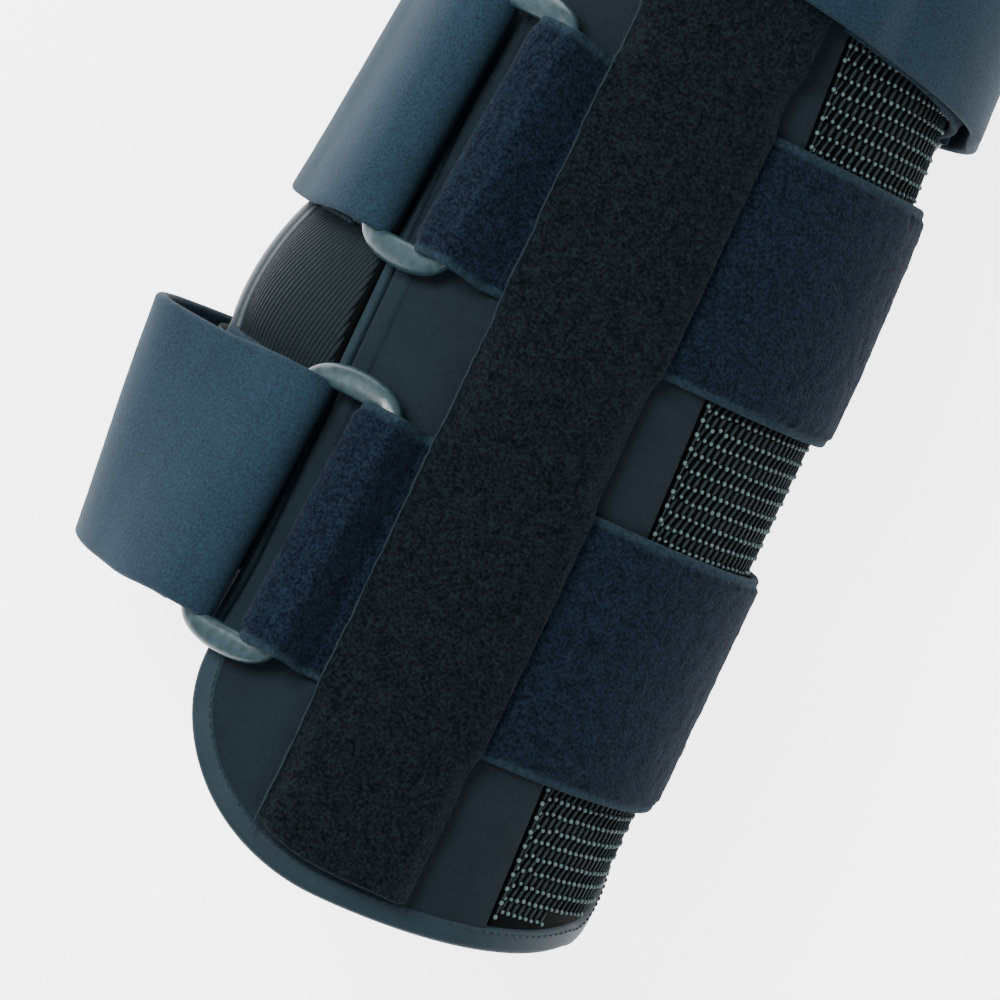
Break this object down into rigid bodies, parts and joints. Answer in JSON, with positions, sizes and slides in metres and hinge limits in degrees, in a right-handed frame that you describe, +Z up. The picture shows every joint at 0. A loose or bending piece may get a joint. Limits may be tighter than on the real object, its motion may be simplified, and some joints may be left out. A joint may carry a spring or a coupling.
{
  "type": "wrist splint",
  "caption": "Fabric wrist splint: a tapered open sleeve with a stay under a pile strip and wrap straps that fold back through rectangular rings.",
  "frame": {"origin": "centre of the footprint, on the surface that the splint lies on", "axes": "+Y along the forearm from the elbow end to the hand end, +X across to the mesh side, +Z up through the pile strip"},
  "size_m": [0.0972, 0.236, 0.0825],
  "materials": {
    "panel_laminate": "smooth brushed laminate",
    "lining_cloth": "soft looped lining",
    "open_mesh": "coarse open woven mesh",
    "ribbed_elastic": "ribbed elastic",
    "seam_tape": "flat tape",
    "binding_tape": "folded edge tape",
    "piping_cord": "covered cord",
    "strip_pile": "dense loop pile",
    "strap_pile": "dense loop pile",
    "strap_fabric": "smooth brushed fabric",
    "hook_tape": "moulded hook tape",
    "stay_aluminium": "bare flat bar",
    "ring_moulding": "satin moulded plastic"
  },
  "bodies": {
    "sleeve": {"upper_panel": "panel_laminate", "upper_lining": "lining_cloth", "lower_panel": "panel_laminate", "lower_lining": "lining_cloth", "side_mesh_panel": "open_mesh", "elastic_gusset": "ribbed_elastic", "gusset_seam_tape": "seam_tape", "left_edge_binding": "binding_tape", "gusset_piping": "piping_cord", "thumb_web": "panel_laminate", "thumb_hole_binding": "binding_tape", "elbow_end_binding_upper": "binding_tape", "elbow_end_binding_lower": "binding_tape", "hand_end_binding_upper": "binding_tape", "hand_end_binding_lower": "binding_tape", "pile_strip": "strip_pile", "strap_1_band": "strap_pile", "strap_1_tab": "strap_pile", "strap_2_band": "strap_pile", "strap_2_tab": "strap_pile", "strap_3_band": "strap_pile", "strap_3_tab": "strap_pile"},
    "stay": {"stay": "stay_aluminium"},
    "strap_1_ring": {"strap_1_ring": "ring_moulding"},
    "strap_1_end": {"strap_1_free_end": "strap_fabric", "strap_1_hook_patch": "hook_tape"},
    "strap_2_ring": {"strap_2_ring": "ring_moulding"},
    "strap_2_end": {"strap_2_free_end": "strap_fabric", "strap_2_hook_patch": "hook_tape"},
    "strap_3_ring": {"strap_3_ring": "ring_moulding"},
    "strap_3_end": {"strap_3_free_end": "strap_fabric", "strap_3_hook_patch": "hook_tape"}
  },
  "joints": [
    {"name": "stay_slide", "type": "slide", "parent": "sleeve", "child": "stay", "axis": [0, 0.9967, -0.0815], "range_m": [0, 0.2]},
    {"name": "strap_1_ring_hinge", "type": "hinge", "parent": "sleeve", "child": "strap_1_ring", "pos_m": [-0.01808, -0.07068, 0.07545], "axis": [0.0465, 0.9958, -0.0789], "range_deg": [0, 12]},
    {"name": "strap_1_end_hinge", "type": "hinge", "parent": "strap_1_ring", "child": "strap_1_end", "pos_m": [-0.03057, -0.07068, 0.06809], "axis": [0.0465, 0.9958, -0.0789], "range_deg": [0, 110]},
    {"name": "strap_2_ring_hinge", "type": "hinge", "parent": "sleeve", "child": "strap_2_ring", "pos_m": [-0.01913, -0.01104, 0.06874], "axis": [0.0632, 0.9953, -0.0732], "range_deg": [0, 12]},
    {"name": "strap_2_end_hinge", "type": "hinge", "parent": "strap_2_ring", "child": "strap_2_end", "pos_m": [-0.03011, -0.01104, 0.05927], "axis": [0.0632, 0.9953, -0.0732], "range_deg": [0, 110]},
    {"name": "strap_3_ring_hinge", "type": "hinge", "parent": "sleeve", "child": "strap_3_ring", "pos_m": [0.0336, 0.03416, 0.006], "axis": [-0.0946, 0.9915, -0.0892], "range_deg": [0, 12]},
    {"name": "strap_3_end_hinge", "type": "hinge", "parent": "strap_3_ring", "child": "strap_3_end", "pos_m": [0.04203, 0.03602, 0.01765], "axis": [-0.0946, 0.9915, -0.0892], "range_deg": [0, 110]}
  ]
}
